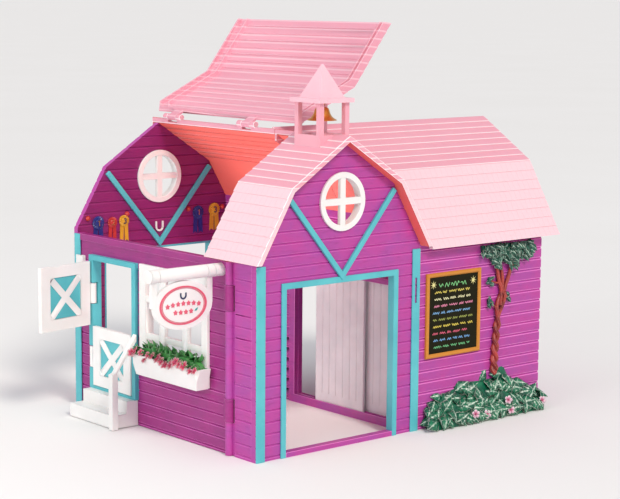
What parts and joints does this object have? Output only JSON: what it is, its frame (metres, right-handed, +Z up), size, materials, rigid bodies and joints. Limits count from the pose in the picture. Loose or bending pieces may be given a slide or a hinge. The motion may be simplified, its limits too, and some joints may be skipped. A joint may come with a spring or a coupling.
{
  "type": "toy barn with opening doors",
  "caption": "Gambrel-roofed toy stable with a side wing, hinged roof flap, swing-out side wall, split door, bypass plank doors, hanging oval sign and a bell cupola.",
  "frame": {"origin": "underside of the front doorway's threshold, midway across it and in the plane of the front gable's face", "axes": "+X along the front gable towards the wing, +Y from the front gable to the rear gable, +Z up"},
  "size_m": [0.3285, 0.2217, 0.2738],
  "materials": {
    "orchid_siding": "satin moulded",
    "teal_trim": "satin moulded",
    "pink_roof": "satin moulded",
    "white_plastic": "satin moulded",
    "gold_paint": "metallic gold paint",
    "ochre_frame": "satin paint",
    "slate_board": "matt",
    "brick_bark": "satin paint",
    "leaf_green": "semi-gloss paint",
    "rosette_blue": "satin paint",
    "rosette_red": "satin paint",
    "rosette_yellow": "satin paint"
  },
  "bodies": {
    "barn": {"front_gable_wall": "orchid_siding", "front_door_frame": "teal_trim", "front_threshold": "orchid_siding", "front_corner_trims": "teal_trim", "front_v_brace": "teal_trim", "front_round_window": "white_plastic", "rear_gable_wall": "orchid_siding", "rear_door_frame": "teal_trim", "rear_threshold": "orchid_siding", "rear_corner_trims": "teal_trim", "rear_v_brace": "teal_trim", "rear_round_window": "white_plastic", "side_wall_post": "orchid_siding", "side_wall_hinge_rod": "orchid_siding", "partition_wall": "orchid_siding", "wing_front_wall": "orchid_siding", "wing_end_wall": "orchid_siding", "wing_roof_front": "pink_roof", "wing_roof_rear": "pink_roof", "front_roof": "pink_roof", "rear_roof": "pink_roof", "flap_hinge_pins": "pink_roof", "cupola_frame": "pink_roof", "cupola_cap": "pink_roof", "bell_pin": "pink_roof", "chalkboard_frame": "ochre_frame", "chalkboard_panel": "slate_board", "tree_trunk": "brick_bark", "tree_foliage": "leaf_green", "shrub_bed": "leaf_green", "rosettes_blue": "rosette_blue", "rosettes_red": "rosette_red", "rosettes_yellow": "rosette_yellow", "horseshoe": "white_plastic"},
    "side_wall": {"side_wall_panel": "orchid_siding", "side_wall_latch": "white_plastic", "dutch_door_frame": "teal_trim", "dutch_hinge_pins": "orchid_siding", "side_window_frame": "white_plastic", "flower_box": "white_plastic", "flower_foliage": "leaf_green", "entry_steps": "white_plastic", "sign_bar": "white_plastic"},
    "upper_leaf": {"upper_leaf": "white_plastic", "upper_leaf_infill": "teal_trim"},
    "lower_leaf": {"lower_leaf": "white_plastic", "lower_leaf_infill": "teal_trim"},
    "hanging_sign": {"sign_board": "white_plastic"},
    "roof_flap": {"roof_flap": "pink_roof"},
    "bell": {"bell": "gold_paint"},
    "front_sliding_door": {"sliding_door_front": "white_plastic"},
    "rear_sliding_door": {"sliding_door_rear": "white_plastic"}
  },
  "joints": [
    {"name": "side_wall_swing", "type": "hinge", "parent": "barn", "child": "side_wall", "pos_m": [-0.0698, 0.0266, 0], "axis": [0, 0, 1], "range_deg": [0, 90]},
    {"name": "upper_leaf_swing", "type": "hinge", "parent": "side_wall", "child": "upper_leaf", "pos_m": [-0.0713, 0.1796, 0.085], "axis": [0, 0, 1], "range_deg": [-70, 79.9]},
    {"name": "lower_leaf_swing", "type": "hinge", "parent": "side_wall", "child": "lower_leaf", "pos_m": [-0.0713, 0.1796, 0.04], "axis": [0, 0, 1], "range_deg": [-100, 0]},
    {"name": "sign_swing", "type": "hinge", "parent": "side_wall", "child": "hanging_sign", "pos_m": [-0.1, 0.034, 0.1195], "axis": [1, 0, 0], "range_deg": [-35, 35]},
    {"name": "roof_flap_swing", "type": "hinge", "parent": "barn", "child": "roof_flap", "pos_m": [0.0008, 0.12, 0.2044], "axis": [0, 1, 0], "range_deg": [-186.9, 0]},
    {"name": "bell_swing", "type": "hinge", "parent": "barn", "child": "bell", "pos_m": [0, 0.0202, 0.222], "axis": [1, 0, 0], "range_deg": [-20, 20]},
    {"name": "front_sliding_door_slide", "type": "slide", "parent": "barn", "child": "front_sliding_door", "axis": [0, 1, 0], "range_m": [-0.0249, 0.0223]},
    {"name": "rear_sliding_door_slide", "type": "slide", "parent": "barn", "child": "rear_sliding_door", "axis": [0, 1, 0], "range_m": [-0.0047, 0.0425]}
  ]
}
